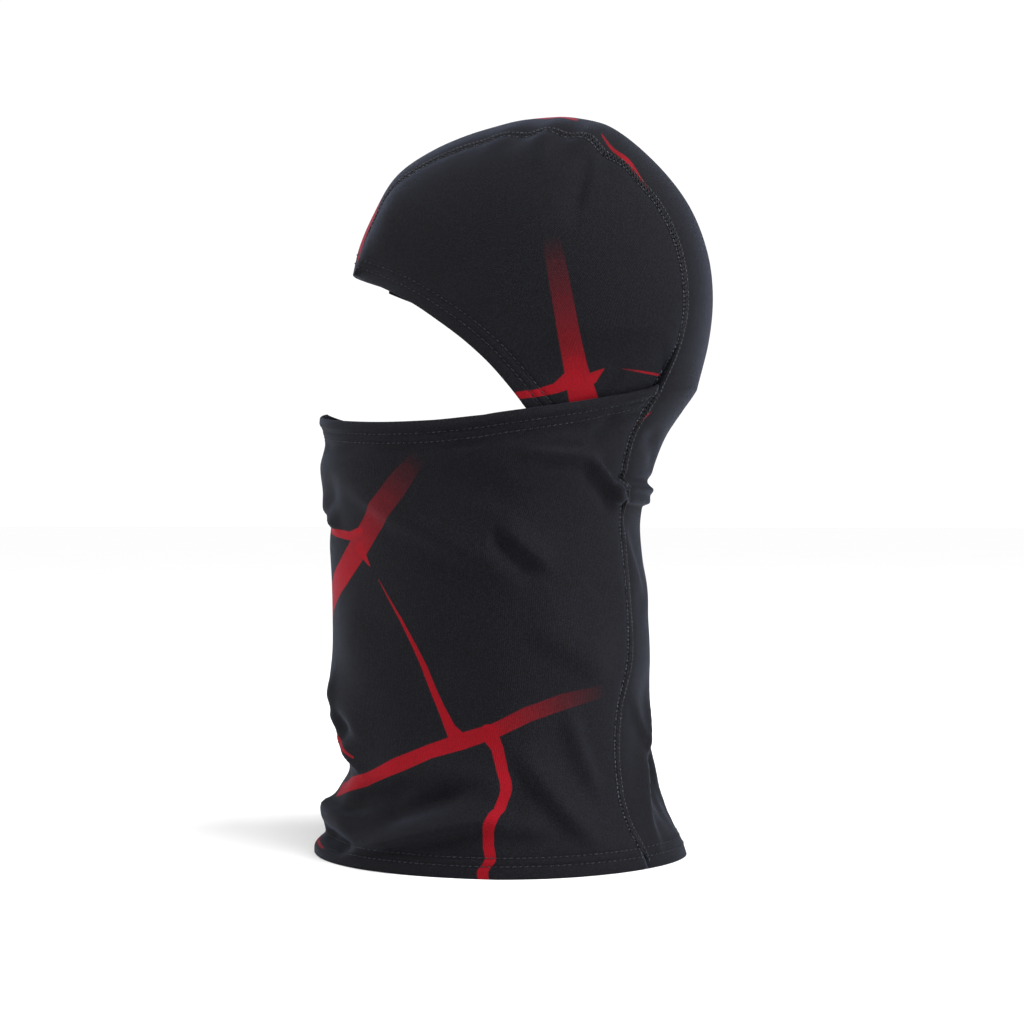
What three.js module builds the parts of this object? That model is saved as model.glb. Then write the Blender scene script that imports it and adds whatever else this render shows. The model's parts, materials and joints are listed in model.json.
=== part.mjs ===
// A hinged balaclava: four knit panels, flatlock seams beside the centre strip and coverstitched hems.
// Millimetres. +Z is up, the face looks towards -Y, the wearer's left is +X, the bottom hem lies on Z = 0.
import * as THREE from "three";

// Overall size, and the size that the outlines below are drawn at
const BREADTH = 156;
const DEPTH = 205;
const HEIGHT = 375;
const DRAWN = { breadth: 156, depth: 205, height: 375 };
const wide = (x) => (x * BREADTH) / DRAWN.breadth;
const deep = (y) => (y * DEPTH) / DRAWN.depth;
const tall = (z) => (z * HEIGHT) / DRAWN.height;

// Cloth and thread
const FABRIC = 1.2; // thickness of the knit
const HEM_FOLD = 1.1; // what the turned hem adds on the inside
const HEM_DEPTH = 13;
const THREAD_WIDTH = 0.8;
const THREAD_THICK = 0.5;
const THREAD_LIFT = 1; // clear height of a thread over the cloth
const THREAD_CLEAR = 0.3; // between the flatlock and the needle thread on it
const FLATLOCK_WIDTH = 4.6;
const FLATLOCK_THICK = 0.35;
const NEEDLE_OFFSET = 1.6; // from the seam to each of its needle threads
const TURN_GAP = 0.4; // on each side of the hood's turning line
const SEAM_GAP = 0.9; // between the edges of two panels
const FOLD_GAP = 1.1; // between the mask, the fold under it and the neck
const SLIDE_CLEAR = 1.1; // between the hood's threads and the inside of the front panel
const TUCK = FABRIC + THREAD_LIFT + THREAD_THICK + SLIDE_CLEAR; // the hood lies this far inside it
const FACE_HEM_ROWS = [6.7, 11.3]; // from the edge to each row of needle thread
const MASK_HEM_ROWS = [6, 10.4];
const BOTTOM_HEM_ROWS = [6, 10];

// The two turning lines, as Y and Z, and the mask's travel in degrees
const HOOD_TURN = [deep(96.5), tall(236)];
const MASK_TURN = [deep(79), tall(239)];
const MASK_RANGE = 14;
const MASK_SLOPE = 17; // below level, of the mask's lower edge, seen from its turning line
const TURN_CLEARANCE = 1.5; // left between the mask at its limit and the neck
const MASK_END = 0.835; // where the mask stops, as a share of the way from the front to the seam
const CORNER_START = 0.86; // where the fold beside the mask reaches up to the rim, as such a share
const CORNER_DEPTH = 9; // of the mask at its two ends
const CORNER_TRAVEL = 16; // room under the mask's two ends

// Mid-plane profile of the hood from the forehead over the crown to the turning line: Y, Z
const CROWN_PROFILE = [
  [-83, 296], [-79, 311], [-71, 328], [-58, 348], [-40, 360], [-12, 370], [22, 375], [50, 370],
  [73, 352], [91, 329], [100, 306], [102.7, 285], [101, 262], [95, 236],
].map(([y, z]) => [deep(y), tall(z)]);
// Back, front and half-width of the neck at each height
const BACK = [
  [0, 90], [8, 87], [14, 83], [22, 78], [36, 73], [75, 68.5], [100, 71], [133, 69], [164, 66],
  [176, 67], [188, 70.5], [200, 74], [213, 79.5], [225, 87.5], [236, 95], [245, 98],
].map(([z, y]) => [tall(z), deep(y)]);
const FRONT = [
  [0, -102], [4, -101], [9, -95.5], [16, -94.5], [24, -93.5], [33, -88.5], [43, -83.5], [58, -86.5],
  [70, -89], [104, -92.5],
  [145, -93], [168, -94.5], [182, -96.6], [197, -99], [208, -97], [225, -99.7], [245, -100],
].map(([z, y]) => [tall(z), deep(y)]);
const WIDTH = [
  [0, 78], [20, 75], [56, 69], [108, 68.5], [150, 70.5], [176, 73], [200, 76], [225, 76.5], [245, 76],
].map(([z, x]) => [tall(z), wide(x)]);
// Height of the mask's rim at each share of the way from the front to the seam
const RIM = [
  [0, 225], [0.12, 222], [0.35, 218], [0.5, 218], [0.6, 220.5], [0.75, 225], [0.9, 231.5], [1, 238],
].map(([share, z]) => [share, tall(z)]);
const HALF_WIDTH = wide(76); // of the hood at the cheeks
const POLE = [deep(-40), tall(215)]; // Y, Z of the lateral line that the hood is rounded about
const BROW_CORE = [deep(20), tall(272)]; // the same for its first rows, above the forehead
const BACK_ROUNDNESS = 1.75; // exponent of the superellipse at the back of the neck
const FRONT_ROUNDNESS = 2.2;
const HOOD_ROUNDNESS = 2.5;
const NECK_HEIGHT = HOOD_TURN[1];
const LEVEL_BELOW = tall(150); // the strip's rows are level from here down
const HOOD_ROWS_END = 1.2; // row of the centre strip where the hood panels end at the nape
const CORE_TOP = tall(255); // outward is told from a point on the axis no higher than this
const TUCK_STARTS = tall(263);
const TUCK_WHOLE = tall(237);
const LOOKED_UP = tall(243); // the front panel is followed no higher than this

// Half-width of the centre strip: along the crown (share of its length), then down the neck (height)
const CROWN_STRIP = [[0, 29], [0.15, 32], [0.45, 35], [0.8, 38], [1, 33]].map(([v, x]) => [v, wide(x)]);
const NECK_STRIP = [[0, 38], [55, 33], [108, 24], [160, 25], [180, 26], [192, 30], [236, 33]]
  .map(([z, x]) => [tall(z), wide(x)]);
const CROWN_ROUNDNESS = [[0, 2], [0.25, 2.2], [0.5, 2.3], [0.85, 2.5], [1, 1.85]];

// Edge of the hood round the face, from the forehead to where it ends under the mask: X, Y, Z
const FACE_EDGE = [
  [31, -73, 291.5], [44, -58, 285], [56, -42, 277], [63, -27, 267.5], [67.5, -12.5, 257],
  [70, 0, 246], [71, 10, 235], [70, 21, 221], [63, 34, 205], [50, 47, 192], [37, 58, 187.8],
].map(([x, y, z]) => [wide(x), deep(y), tall(z)]);
const BROW_HALF = wide(25); // half-length of the hem threads over the forehead
const HEM_ROW_END = 0.96; // where the face hem's threads stop, short of the nape
const CORNER_ROOM = 1.6; // a hem row leaves the brow corner where the panel is this many times as deep
const ROUND_END = 15 / 16; // share of the way to the seam that a hem row runs

const FLATLOCK_START = 14; // above the bottom edge; twice this from the brow, past its hem
const TURN_SHARE = 0.015; // of a row, that a flatlock stops short of the turning line

const LABEL = { low: tall(120), high: tall(150), half: 10, thick: 0.4, gap: 0.4 };

const cloth = new THREE.MeshStandardMaterial({ color: 0x212228, roughness: 0.85, metalness: 0 });
const sewing = new THREE.MeshStandardMaterial({ color: 0x101014, roughness: 0.6, metalness: 0 });
const ribbonWhite = new THREE.MeshStandardMaterial({ color: 0x9a9a9a, roughness: 0.7, metalness: 0 });

const radians = THREE.MathUtils.degToRad;
const lerp = THREE.MathUtils.lerp;
const smooth = THREE.MathUtils.smoothstep;
const clamp = THREE.MathUtils.clamp;
const vec = (x, y, z) => new THREE.Vector3(x, y, z);

// A smooth value through the rows [place, value] of a table, in rising order of place.
function along(table, place) {
  const last = table.length - 1;
  let i = 0;
  while (i < last - 1 && place > table[i + 1][0]) i += 1;
  const slope = (k) => {
    const a = table[Math.max(k - 1, 0)];
    const b = table[Math.min(k + 1, last)];
    return (b[1] - a[1]) / (b[0] - a[0]);
  };
  const [x0, y0] = table[i];
  const [x1, y1] = table[i + 1];
  const step = x1 - x0;
  const t = clamp((place - x0) / step, 0, 1);
  const pull = t * t * (3 - 2 * t);
  const leave = t * (1 - t) * (1 - t) * step * slope(i);
  const arrive = t * t * (t - 1) * step * slope(i + 1);
  return lerp(y0, y1, pull) + leave + arrive;
}

// What is left of a superellipse's other axis at a share of this one.
const fall = (share, n) => Math.pow(Math.max(0, 1 - Math.pow(Math.abs(share), n)), 1 / n);

const crownCurve = new THREE.CatmullRomCurve3(
  CROWN_PROFILE.map(([y, z]) => vec(0, y, z)),
  false,
  "centripetal",
);
const faceCurve = new THREE.CatmullRomCurve3(FACE_EDGE.map((p) => vec(...p)), false, "centripetal");

// The centre strip. v runs from 0 at the forehead to 1 at the turning line, then to 2 at the bottom hem.
function stripRow(v) {
  if (v <= 1) {
    const middle = crownCurve.getPointAt(clamp(v, 0, 1));
    const front = smooth(v, 0, 0.25);
    const core = vec(0, lerp(BROW_CORE[0], POLE[0], front), lerp(BROW_CORE[1], POLE[1], front));
    return { middle, core, half: along(CROWN_STRIP, v), n: along(CROWN_ROUNDNESS, v), width: HALF_WIDTH };
  }
  const z = NECK_HEIGHT * (2 - v);
  const up = smooth(z, LEVEL_BELOW, NECK_HEIGHT);
  const core = vec(0, lerp(0, POLE[0], up), lerp(z, POLE[1], up));
  const n = lerp(BACK_ROUNDNESS, along(CROWN_ROUNDNESS, 1), up);
  return { middle: vec(0, along(BACK, z), z), core, half: along(NECK_STRIP, z), n, width: along(WIDTH, z) };
}
const stripHalf = (v) => stripRow(v).half;
const neckRow = (z) => 2 - z / NECK_HEIGHT;

function strip(v, x) {
  const row = stripRow(v);
  const kept = fall(x / row.width, row.n);
  const point = row.core.clone().lerp(row.middle, kept);
  return point.setX(x);
}

// How far the crown lies from the pole, for each direction from it.
const CROWN_SAMPLES = 120;
const CROWN_SEEN_TO = 1.3; // row of the strip, past the nape
const crownReach = Array.from({ length: CROWN_SAMPLES + 1 }, (_, k) => {
  const ray = stripRow(CROWN_SEEN_TO * (1 - k / CROWN_SAMPLES)).middle.sub(vec(0, ...POLE));
  return [Math.atan2(ray.z, ray.y), ray.length()];
});

// Half-width of the hood where it is seen at (y, z) from the side.
function hoodHalfWidth(y, z) {
  const ray = vec(0, y - POLE[0], z - POLE[1]);
  return HALF_WIDTH * fall(ray.length() / along(crownReach, Math.atan2(ray.z, ray.y)), HOOD_ROUNDNESS);
}

// Half-width at (y, z) of a surface that lies inside the front panel by a clearance.
function underFront(y, z, inset) {
  const drawnIn = (a) => {
    const p = frontPanel(a, z);
    const run = frontPanel(a + 1e-3, z).sub(frontPanel(a - 1e-3, z));
    return p.addScaledVector(vec(run.y, -run.x, 0).normalize(), -inset);
  };
  let [low, high] = [0.1, 1];
  for (let k = 0; k < 14; k += 1) {
    const middle = (low + high) / 2;
    if (drawnIn(middle).y < y) low = middle;
    else high = middle;
  }
  return drawnIn(high).x;
}

// A hood side panel. s runs from the forehead to the nape, u from the seam to the face edge.
function hoodSide(s, u, side) {
  const v = s * HOOD_ROWS_END;
  const half = stripHalf(v) + SEAM_GAP;
  const seam = strip(v, half);
  seam.y -= TUCK * (1 - smooth(seam.z, TUCK_WHOLE, TUCK_STARTS));
  const edge = faceCurve.getPointAt(clamp(s, 0, 1));
  const p = seam.clone().lerp(edge, u);
  const swell = hoodHalfWidth(p.y, p.z);
  const atSeam = (half - hoodHalfWidth(seam.y, seam.z)) * (1 - u) ** 2;
  const atEdge = (edge.x - hoodHalfWidth(edge.y, edge.z)) * u ** 2;
  p.x = swell + atSeam + atEdge;
  const tucked = 1 - smooth(p.z, TUCK_WHOLE, TUCK_STARTS);
  if (tucked > 0) {
    const limit = underFront(p.y, Math.min(p.z, LOOKED_UP), TUCK);
    p.x = lerp(p.x, Math.min(p.x, limit), tucked);
  }
  return p.multiply(vec(side, 1, 1));
}

// The front panel. a runs from 0 at the front to 1 at the left seam and -1 at the right seam.
function frontPanel(a, z) {
  const side = Math.sign(a) || 1;
  const share = Math.abs(a);
  const width = along(WIDTH, z);
  const half = along(NECK_STRIP, z) + SEAM_GAP;
  const seamAngle = Math.PI - Math.asin(Math.pow(half / width, BACK_ROUNDNESS / 2));
  const slice = (angle) => {
    const back = angle > Math.PI / 2;
    const n = back ? BACK_ROUNDNESS : FRONT_ROUNDNESS;
    const reach = back ? along(BACK, z) : along(FRONT, z);
    const x = width * Math.pow(Math.sin(angle), 2 / n);
    return vec(x, reach * Math.pow(Math.abs(Math.cos(angle)), 2 / n), z);
  };
  const seam = strip(neckRow(z), half).sub(slice(seamAngle));
  const p = slice(share * seamAngle).addScaledVector(seam, share ** 6);
  return p.multiply(vec(side, 1, 1));
}
const rimHeight = (a) => along(RIM, Math.abs(a));

// Height of a fold line that leaves the mask's turning line at a slope, at least so far under the rim.
function foldHeight(a, degrees, least) {
  const rim = rimHeight(a);
  let z = rim;
  for (let k = 0; k < 8; k += 1) {
    const ahead = MASK_TURN[0] - frontPanel(a, z).y;
    z = lerp(z, MASK_TURN[1] - Math.tan(radians(degrees)) * ahead, 0.7);
  }
  return Math.min(z, rim - least);
}
const maskLow = (a) => foldHeight(a, MASK_SLOPE, CORNER_DEPTH);
const neckTop = (a) => {
  const turned = MASK_SLOPE + MASK_RANGE + TURN_CLEARANCE;
  return foldHeight(a, turned, CORNER_DEPTH + CORNER_TRAVEL);
};

// Outward direction of a surface, level on the bottom hem so that it stays flat.
function outward(surface, u, v) {
  const e = 1e-3;
  const du = surface(u + e, v).sub(surface(u - e, v));
  const dv = surface(u, v + e).sub(surface(u, v - e));
  const normal = du.cross(dv).normalize();
  const p = surface(u, v);
  const core = vec(0, 0, Math.min(p.z, CORE_TOP));
  if (normal.dot(p.clone().sub(core)) < 0) normal.negate();
  normal.z *= smooth(p.z, 0, HEM_DEPTH);
  return normal.normalize();
}

// A closed sheet: a box whose two broad faces follow surface(u, v), high and low over it.
function sheet(surface, columns, rows, high, low) {
  const geometry = new THREE.BoxGeometry(1, 1, 1, columns, rows, 1);
  const place = geometry.attributes.position;
  for (let i = 0; i < place.count; i += 1) {
    const u = clamp(place.getX(i) + 0.5, 0, 1);
    const v = clamp(place.getY(i) + 0.5, 0, 1);
    const lift = place.getZ(i) > 0 ? high : low(u, v);
    const p = surface(u, v).addScaledVector(outward(surface, u, v), lift);
    place.setXYZ(i, p.x, p.y, p.z);
  }
  geometry.deleteAttribute("normal");
  geometry.deleteAttribute("uv");
  return facingOut(geometry);
}

function facingOut(geometry) {
  const p = geometry.attributes.position;
  const index = geometry.index.array;
  const [a, b, c] = [vec(), vec(), vec()];
  let volume = 0;
  for (let i = 0; i < index.length; i += 3) {
    a.fromBufferAttribute(p, index[i]);
    b.fromBufferAttribute(p, index[i + 1]);
    c.fromBufferAttribute(p, index[i + 2]);
    volume += a.dot(b.cross(c));
  }
  if (volume < 0) {
    for (let i = 0; i < index.length; i += 3) {
      [index[i + 1], index[i + 2]] = [index[i + 2], index[i + 1]];
    }
  }
  return geometry;
}

// A flat band of thread along points that lie on the cloth, from low to high over them.
function band(points, width, low, high) {
  const last = points.length - 1;
  const across = (v, u, lift) => {
    const i = Math.round(v * last);
    const { point, normal } = points[i];
    const ahead = points[Math.min(i + 1, last)].point.clone().sub(points[Math.max(i - 1, 0)].point);
    const side = ahead.cross(normal).normalize();
    return point.clone().addScaledVector(side, width * (u - 0.5)).addScaledVector(normal, lift);
  };
  const geometry = new THREE.BoxGeometry(1, 1, 1, 1, last, 1);
  const place = geometry.attributes.position;
  for (let i = 0; i < place.count; i += 1) {
    const p = across(place.getY(i) + 0.5, place.getX(i) + 0.5, place.getZ(i) > 0 ? high : low);
    place.setXYZ(i, p.x, p.y, p.z);
  }
  geometry.deleteAttribute("normal");
  geometry.deleteAttribute("uv");
  return facingOut(geometry);
}

// Points with their outward directions along a line on a surface.
function trace(surface, line, steps) {
  return Array.from({ length: steps + 1 }, (_, k) => {
    const [u, v] = line(k / steps);
    return { point: surface(u, v), normal: outward(surface, u, v) };
  });
}

const balaclava = new THREE.Group();
function add(name, geometry, material) {
  const mesh = new THREE.Mesh(geometry, material);
  mesh.name = name;
  balaclava.add(mesh);
}

const plain = () => -FABRIC;
const stripSurface = (from, to) => (u, v) => {
  const row = lerp(from, to, v);
  return strip(row, lerp(-1, 1, u) * stripHalf(row));
};
const neckRange = (low, high) => (u, v) => {
  const a = lerp(-1, 1, u);
  return frontPanel(a, lerp(low(a), high(a), v));
};

function addPanels() {
  const turnGap = TURN_GAP / NECK_HEIGHT;
  add("crown_panel", sheet(stripSurface(0, 1 - turnGap), 6, 30, 0, plain), cloth);
  const hemAt = (height) => (height < HEM_DEPTH ? -FABRIC - HEM_FOLD : -FABRIC);
  const backNeck = stripSurface(1 + turnGap, 2);
  add("back_neck_panel", sheet(backNeck, 6, 20, 0, (u, v) => hemAt(NECK_HEIGHT * (1 - v))), cloth);
  for (const [name, side] of [["left", 1], ["right", -1]]) {
    const hood = (u, v) => hoodSide(v, u, side);
    add(`hood_panel_${name}`, sheet(hood, 10, 36, 0, plain), cloth);
  }
  const neck = neckRange(() => 0, neckTop);
  add("front_neck_panel", sheet(neck, 32, 12, 0, (u, v) => hemAt(v * neckTop(0))), cloth);
  const foldTop = (a) => {
    const corner = smooth(Math.abs(a), CORNER_START - 0.01, CORNER_START + 0.01);
    return lerp(maskLow(a) - FOLD_GAP, rimHeight(a), corner);
  };
  const fold = neckRange((a) => neckTop(a) + FOLD_GAP, foldTop);
  add("front_fold_panel", sheet(fold, 56, 4, 0, plain), cloth);
  const mask = neckRange(maskLow, rimHeight);
  const maskOnly = (u, v) => mask(lerp(0.5 - MASK_END / 2, 0.5 + MASK_END / 2, u), v);
  add("mask_panel", sheet(maskOnly, 32, 4, 0, plain), cloth);
}

function addSeams() {
  const hoodStart = (2 * FLATLOCK_START) / crownCurve.getLength();
  const neckEnd = neckRow(FLATLOCK_START);
  const spans = [["hood", hoodStart, 1 - TURN_SHARE], ["neck", 1 + TURN_SHARE, neckEnd]];
  for (const [name, side] of [["left", 1], ["right", -1]]) {
    for (const [part, from, to] of spans) {
      const row = (k) => lerp(from, to, k);
      const beside = (offset) => (u, v) => strip(v, side * (stripHalf(v) + offset + u));
      const line = (k) => [0, row(k)];
      const steps = 30;
      const low = THREAD_LIFT;
      const cover = band(trace(beside(0), line, steps), FLATLOCK_WIDTH, low, low + FLATLOCK_THICK);
      add(`${part}_flatlock_${name}`, cover, sewing);
      for (const [which, offset] of [["inner", -NEEDLE_OFFSET], ["outer", NEEDLE_OFFSET]]) {
        const base = low + FLATLOCK_THICK + THREAD_CLEAR;
        const needle = band(trace(beside(offset), line, steps), THREAD_WIDTH, base, base + THREAD_THICK);
        add(`${part}_needle_${which}_${name}`, needle, sewing);
      }
    }
  }
}

// Two rows of needle thread along a turned edge, each at its own depth from it.
function addHem(name, path, rows) {
  rows.forEach((depth, k) => {
    const outer = band(path(depth), THREAD_WIDTH, THREAD_LIFT, THREAD_LIFT + THREAD_THICK);
    add(`${name}_needle_${k + 1}`, outer, sewing);
  });
}

function addHems() {
  const reach = (s) => hoodSide(s, 0, 1).distanceTo(hoodSide(s, 1, 1));
  const faceRow = (depth) => {
    const row = depth / crownCurve.getLength();
    let brow = 0.01;
    while (reach(brow) < depth * CORNER_ROOM) brow += 0.005;
    const onSide = (side) => {
      const hood = (u, v) => hoodSide(v, u, side);
      const edge = trace(
        hood,
        (k) => {
          const s = lerp(HEM_ROW_END, brow, k);
          return [1 - depth / reach(s), s];
        },
        24,
      );
      const corner = trace(
        hood,
        (k) => [lerp(1 - depth / reach(brow), 0, k), lerp(brow, row / HOOD_ROWS_END, k)],
        6,
      );
      return [...edge, ...corner.slice(1)];
    };
    const across = trace(
      (u, v) => strip(v, u),
      (k) => [lerp(BROW_HALF, -BROW_HALF, k), row],
      6,
    );
    return [...onSide(1), ...across, ...onSide(-1).reverse()];
  };
  addHem("face_hem", faceRow, FACE_HEM_ROWS);
  const round = (end, height) => trace(
    (u, v) => frontPanel(u, v),
    (k) => {
      const a = lerp(-end, end, k);
      return [a, height(a)];
    },
    30,
  );
  const maskEnd = MASK_END * ROUND_END;
  addHem("mask_hem", (depth) => round(maskEnd, (a) => rimHeight(a) - depth), MASK_HEM_ROWS);
  addHem("bottom_hem", (depth) => round(ROUND_END, () => depth), BOTTOM_HEM_ROWS);
}

function addLabel() {
  const face = (u, v) => strip(neckRow(lerp(LABEL.low, LABEL.high, v)), lerp(-LABEL.half, LABEL.half, u));
  const inside = -FABRIC - LABEL.gap;
  add("care_label", sheet(face, 2, 3, inside, () => inside - LABEL.thick), ribbonWhite);
}

addPanels();
addSeams();
addHems();
addLabel();

export default balaclava;
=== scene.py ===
# A hinged knit balaclava standing as on a head: hood, pull-down mask and flared neck gaiter.
# Shapes are given in millimetres in the frame's axes and become metres as each mesh is written.
import bpy
import json
import math
import numpy as np
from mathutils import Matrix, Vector


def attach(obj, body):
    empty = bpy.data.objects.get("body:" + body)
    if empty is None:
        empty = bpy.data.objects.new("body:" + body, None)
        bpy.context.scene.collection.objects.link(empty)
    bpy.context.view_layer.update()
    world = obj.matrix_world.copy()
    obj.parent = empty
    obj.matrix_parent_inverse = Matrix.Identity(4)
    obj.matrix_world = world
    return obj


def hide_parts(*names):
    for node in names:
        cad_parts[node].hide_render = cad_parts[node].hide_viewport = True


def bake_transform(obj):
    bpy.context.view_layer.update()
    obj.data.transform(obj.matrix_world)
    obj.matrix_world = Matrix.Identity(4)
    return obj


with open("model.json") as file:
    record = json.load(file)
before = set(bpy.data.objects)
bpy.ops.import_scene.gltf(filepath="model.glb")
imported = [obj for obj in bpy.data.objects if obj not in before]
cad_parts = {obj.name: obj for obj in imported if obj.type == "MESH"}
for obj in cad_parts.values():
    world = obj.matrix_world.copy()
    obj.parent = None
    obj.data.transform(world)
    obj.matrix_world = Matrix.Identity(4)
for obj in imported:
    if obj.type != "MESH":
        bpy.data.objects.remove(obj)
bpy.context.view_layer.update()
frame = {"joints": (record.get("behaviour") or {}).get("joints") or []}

MM = 0.001

# ---------------------------------------------------------------- cloth and thread, millimetres
CLOTH = 0.8  # thickness of the knit
HEM_ROLL = 0.9  # radius of the edge where a hem turns in
HEM_TURN = 12.5  # depth of a turned hem
OFF_THE_PRINT = 5.0  # metres off the chart of the streaks
SEAM_GAP = 0.08  # from the front panel's edge to the strip's edge
HOOD_SEAM_OVERLAP = 0.3  # how far a hood panel's edge runs under the seam's cover thread into the strip's
TUCK = 3.0  # how far the hood lies inside the front panel
STITCH = 3.0  # pitch of the hem stitches
FLATLOCK_STITCH = 2.1
HEM_ROWS = {"face": (6.7, 11.3), "mask": (6.0, 10.4), "bottom": (6.0, 10.0)}
TURN_LINE = {j["name"]: np.array(j["pos_m"]) / MM for j in frame["joints"]}
HOOD_TURN = TURN_LINE["hood_flip"][1:]
MASK_TURN = TURN_LINE["mask_pull"][1:]
SEAM_ROW_ON_STRIP = -1.5  # the seam's needle rows, from the seam line
SEAM_ROW_ON_PANEL = 1.7
BROW_CLEAR = 16  # the turned hem is too narrow for looper thread nearer to a brow corner than this
HALF_WIDTH = 76.0  # of the hood, level with the pole
POLE = np.array([0.0, -40.0, 215.0])  # middle of the head, from which the hood narrows to its outline
NECK_HEIGHT = HOOD_TURN[1]
HOOD_ROWS_END = 1.2  # a hood panel's last row, in rows of the strip, where 1 is the hood's turning line
LABEL = (120.0, 150.0, 10.0)  # lowest, highest and half-width of the care label

# ---------------------------------------------------------------- outlines, millimetres
CROWN_PROFILE = [
    (-83, 296), (-79, 311), (-71, 328), (-58, 348), (-40, 360), (-12, 370), (22, 375), (50, 370),
    (73, 352), (91, 329), (100, 306), (102.7, 285), (101, 262), (95, NECK_HEIGHT),
]
BACK = [
    (0, 90), (8, 87), (14, 83), (22, 78), (36, 73), (75, 68.5), (100, 71), (133, 69), (164, 66),
    (176, 67), (188, 70.5), (200, 74), (213, 79.5), (225, 87.5), (236, 95), (245, 98),
]
FRONT = [
    (0, -102), (4, -101), (9, -95.5), (16, -94.5), (24, -93.5), (33, -88.5), (43, -83.5), (58, -86.5),
    (70, -89), (104, -92.5), (145, -93), (168, -94.5), (182, -96.6), (197, -99), (208, -97), (225, -99.7),
    (245, -100),
]
WIDTH = [
    (0, 78), (20, 75), (56, 69), (108, 68.5), (150, 70.5), (176, 73), (200, 76), (225, 76.5), (245, 76),
]
RIM = [
    (0, 225), (0.12, 222), (0.35, 218), (0.5, 218), (0.6, 220.5), (0.75, 225), (0.9, 231.5),
    (1, MASK_TURN[1] - 1),
]
BACK_ROUNDNESS = 1.75
FRONT_ROUNDNESS = 2.2
CROWN_STRIP = [(0, 29), (0.15, 32), (0.45, 35), (0.8, 38), (1, 33)]
NECK_STRIP = [(0, 38), (55, 33), (108, 24), (160, 25), (180, 26), (192, 30), (NECK_HEIGHT, 33)]
CROWN_ROUNDNESS = [(0, 1.92), (0.25, 2.1), (0.5, 2.3), (0.85, 2.5), (1, 1.85)]
FACE_EDGE = [
    (31, -73, 291.5), (44, -58, 285), (56, -42, 277), (63, -27, 267.5), (67.5, -12.5, 257),
    (70, 0, 246), (71, 10, 235), (70, 21, 221), (63, 34, 205), (50, 47, 192), (37, 58, 187.8),
]


# ---------------------------------------------------------------- curves
def along(table, place):
    """A smooth value through the rows (place, value) of a table."""
    x, y = np.array(table, float).T
    slope = np.empty_like(y)
    slope[1:-1] = (y[2:] - y[:-2]) / (x[2:] - x[:-2])
    slope[0] = (y[1] - y[0]) / (x[1] - x[0])
    slope[-1] = (y[-1] - y[-2]) / (x[-1] - x[-2])
    place = np.asarray(place, float)
    i = np.clip(np.searchsorted(x, place, side="right") - 1, 0, len(x) - 2)
    step = x[i + 1] - x[i]
    t = np.clip((place - x[i]) / step, 0, 1)
    pull = t * t * (3 - 2 * t)
    ends = t * (1 - t) ** 2 * slope[i] + t * t * (t - 1) * slope[i + 1]
    return y[i] * (1 - pull) + y[i + 1] * pull + step * ends


def smooth(x, low, high):
    t = np.clip((np.asarray(x, float) - low) / (high - low), 0, 1)
    return t * t * (3 - 2 * t)


def mix(a, b, t):
    return a + (b - a) * t


def fall(share, n):
    """What is left of a superellipse's other axis at a share of this one."""
    return np.maximum(0, 1 - np.abs(share) ** n) ** (1 / n)


def spline(points, per_span=40):
    """A centripetal Catmull-Rom curve, as points evenly spaced by a share of its length."""
    p = np.array(points, float)
    p = np.vstack([2 * p[0] - p[1], p, 2 * p[-1] - p[-2]])
    out = []
    t = np.linspace(0, 1, per_span, endpoint=False)[:, None]
    for a, b, c, d in zip(p[:-3], p[1:-2], p[2:-1], p[3:]):
        gaps = [math.sqrt(np.linalg.norm(q - r)) for q, r in ((b, a), (c, b), (d, c))]
        t0, t1, t2 = gaps
        m1 = ((b - a) / t0 - (c - a) / (t0 + t1) + (c - b) / t1) * t1
        m2 = ((c - b) / t1 - (d - b) / (t1 + t2) + (d - c) / t2) * t1
        h = 2 * (b - c) + m1 + m2
        k = 3 * (c - b) - 2 * m1 - m2
        out.append(b + t * (m1 + t * (k + t * h)))
    line = np.vstack([*out, p[-2][None]])
    reach = np.concatenate([[0], np.cumsum(np.linalg.norm(np.diff(line, axis=0), axis=1))])
    return line, reach


def on(curve, share):
    line, reach = curve
    at = np.clip(share, 0, 1) * reach[-1]
    return np.stack([np.interp(at, reach, line[:, k]) for k in range(line.shape[1])], -1)


CROWN = spline([(0, y, z) for y, z in CROWN_PROFILE])
FACE = spline(FACE_EDGE)
CROWN_LENGTH = CROWN[1][-1]


# ---------------------------------------------------------------- folds
def ridge(u, v, start, end, width, height, lean=0.0):
    """A fold's height at (u, v): a ridge from start to end that dies out at both ends.
    lean makes one side of it steeper, as in cloth that falls over."""
    start, end = np.array(start, float), np.array(end, float)
    run = end - start
    long = np.hypot(*run)
    t = ((u - start[0]) * run[0] + (v - start[1]) * run[1]) / long**2
    off = ((u - start[0]) * run[1] - (v - start[1]) * run[0]) / long
    ends = smooth(t, -0.12, 0.3) * (1 - smooth(t, 0.7, 1.12))
    skew = off / width * np.exp(lean * np.tanh(off / width))
    return height * ends * np.exp(-(skew**2))


def folds(x, z, *each):
    """The ridges of several folds, added up."""
    return sum(ridge(x, z, *fold) for fold in each)


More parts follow.
